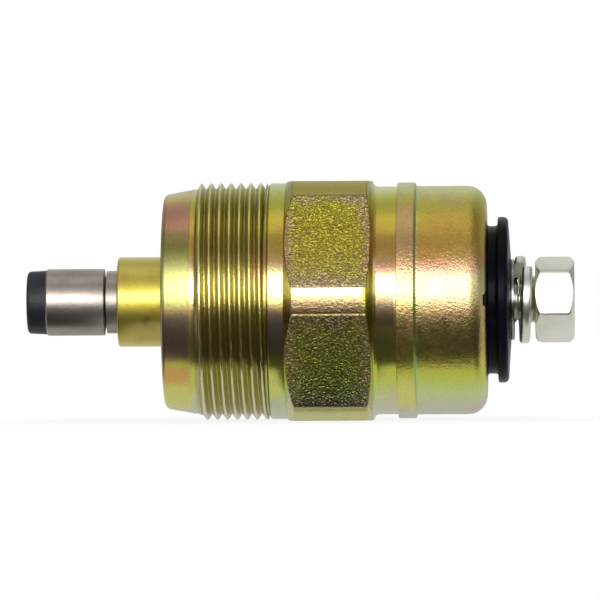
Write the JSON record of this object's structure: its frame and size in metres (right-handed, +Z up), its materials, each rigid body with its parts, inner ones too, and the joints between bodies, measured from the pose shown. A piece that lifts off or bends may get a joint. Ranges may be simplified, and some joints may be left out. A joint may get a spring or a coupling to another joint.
{
  "type": "fuel shutoff solenoid",
  "caption": "Screw-in fuel shutoff solenoid with a spring-loaded plunger in a brass guide, a hexagonal zinc-plated housing and a screw terminal on a black insulator.",
  "frame": {"origin": "on the axis, where the pilot land meets the front of the hexagon", "axes": "+X along the axis towards the terminal, plunger tip towards -X, +Z up, the lower hexagon flat on the ground side"},
  "size_m": [0.055, 0.0262, 0.024],
  "materials": {
    "zinc_chromate": "yellow passivated zinc",
    "brass": "turned",
    "plunger_steel": "satin",
    "tip_rubber": "matte",
    "seal_rubber": "matte",
    "insulator_black": "moulded",
    "bobbin_plastic": "moulded",
    "nickel": "nickel plated",
    "iron": "turned",
    "copper": "enamelled copper wire",
    "tape": "film",
    "spring_steel": "drawn",
    "wire_jacket": "extruded"
  },
  "bodies": {
    "housing_group": {"housing": "zinc_chromate", "rear_can": "zinc_chromate", "guide_tube": "brass", "return_spring": "spring_steel", "pole_core": "iron", "stop_shim": "brass", "core_seal": "seal_rubber", "nose_seal": "seal_rubber", "coil_bobbin": "bobbin_plastic", "coil_winding": "copper", "winding_tape": "tape", "wave_washer": "spring_steel", "flux_plate": "iron", "coil_lead": "wire_jacket", "ground_lead": "copper", "terminal_insulator": "insulator_black", "insulator_gasket": "seal_rubber", "terminal_insert": "nickel", "lock_washer": "nickel", "terminal_screw": "nickel"},
    "plunger_group": {"plunger": "plunger_steel", "plunger_tip": "tip_rubber"}
  },
  "joints": [
    {"name": "plunger_slide", "type": "slide", "parent": "housing_group", "child": "plunger_group", "axis": [1, 0, 0], "range_m": [0, 0.001], "stiffness_N_per_m": 350, "deforming": ["return_spring"]}
  ]
}
